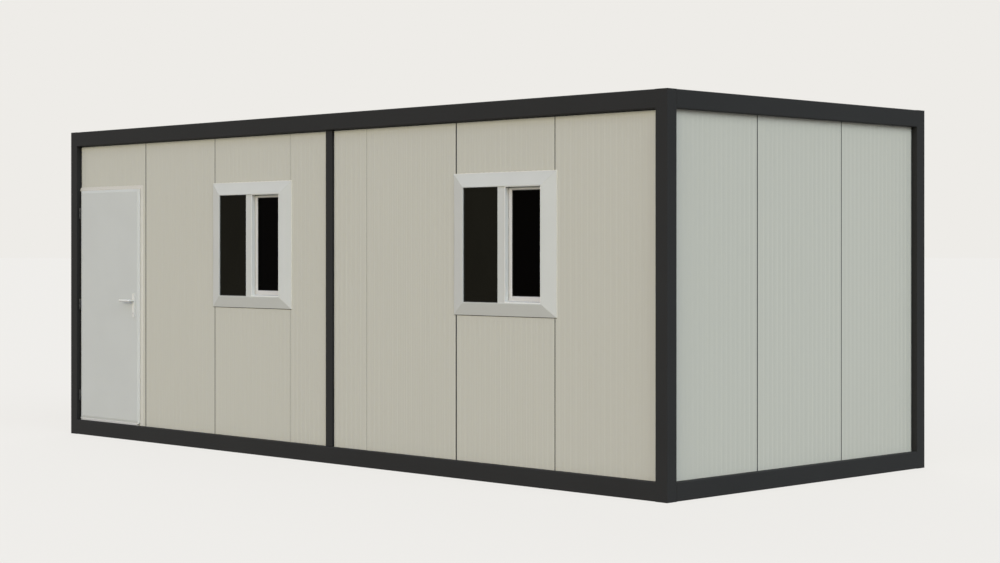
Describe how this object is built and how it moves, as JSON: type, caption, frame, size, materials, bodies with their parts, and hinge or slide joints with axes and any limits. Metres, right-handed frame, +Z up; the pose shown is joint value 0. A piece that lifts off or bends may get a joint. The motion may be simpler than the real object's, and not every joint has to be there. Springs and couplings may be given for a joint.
{
  "type": "portable site cabin",
  "caption": "Flat-roofed steel-framed cabin with ribbed sandwich-panel walls, sliding windows and a hinged outward-opening door with a lever handle.",
  "frame": {"origin": "on the ground, at the centre of the footprint, which takes in the lever standing out in front", "axes": "+X along the cabin, to the right seen from the front; the front with the door faces -Y; +Z up"},
  "size_m": [7, 3.045, 2.7],
  "materials": {
    "frame_steel": "anthracite powder coat, satin",
    "galvanised": "galvanised sheet, dull",
    "deck_board": "raw board",
    "floor_vinyl": "grey sheet flooring, matt",
    "ceiling_board": "off-white coated board, satin",
    "wall_panel": "light warm grey coil coating, fine vertical lines, satin",
    "window_plastic": "white window plastic, satin",
    "window_glass": "dark tinted pane",
    "door_plastic": "white door plastic, satin",
    "threshold_metal": "mill finish, satin",
    "hinge_metal": "anthracite coated steel, satin",
    "handle_white": "white coated, satin",
    "lock_metal": "plain steel, satin"
  },
  "bodies": {
    "cabin": {"back_panels_even": "wall_panel", "back_panels_odd": "wall_panel", "base_beams_end": "frame_steel", "base_beams_long": "frame_steel", "ceiling": "ceiling_board", "ceiling_trim": "ceiling_board", "corner_posts": "frame_steel", "door_frame": "door_plastic", "floor_covering": "floor_vinyl", "floor_deck": "deck_board", "floor_joists": "galvanised", "front_panel_over_door": "wall_panel", "front_panels_even": "wall_panel", "front_panels_odd": "wall_panel", "front_strip_beside_door": "wall_panel", "hinge_brackets": "hinge_metal", "left_panels_even": "wall_panel", "left_panels_odd": "wall_panel", "mid_posts": "frame_steel", "right_panels_even": "wall_panel", "right_panels_odd": "wall_panel", "roof_beams_end": "frame_steel", "roof_beams_long": "frame_steel", "roof_joists": "galvanised", "roof_sheet": "galvanised", "skirting": "ceiling_board", "strike_plate": "lock_metal", "threshold": "threshold_metal", "window_head_panels": "wall_panel", "window_left_frame": "window_plastic", "window_left_glass": "window_glass", "window_left_sash": "window_plastic", "window_right_frame": "window_plastic", "window_right_glass": "window_glass", "window_right_sash": "window_plastic", "window_sill_panels": "wall_panel"},
    "door": {"door_leaf": "door_plastic", "hinge_leaves": "hinge_metal", "lever_plates": "handle_white", "key_cylinder": "lock_metal", "lock_plate": "lock_metal"},
    "lever": {"door_lever": "handle_white"}
  },
  "joints": [
    {"name": "door_swing", "type": "hinge", "parent": "cabin", "child": "door", "pos_m": [-3.382, -1.4555, 1], "axis": [0, 0, -1], "range_deg": [0, 100]},
    {"name": "lever_turn", "type": "hinge", "parent": "door", "child": "lever", "pos_m": [-2.5365, -1.4625, 1.208], "axis": [0, -1, 0], "range_deg": [0, 45], "stiffness_Nm_per_rad": 1.5, "springref_deg": -45.84}
  ]
}
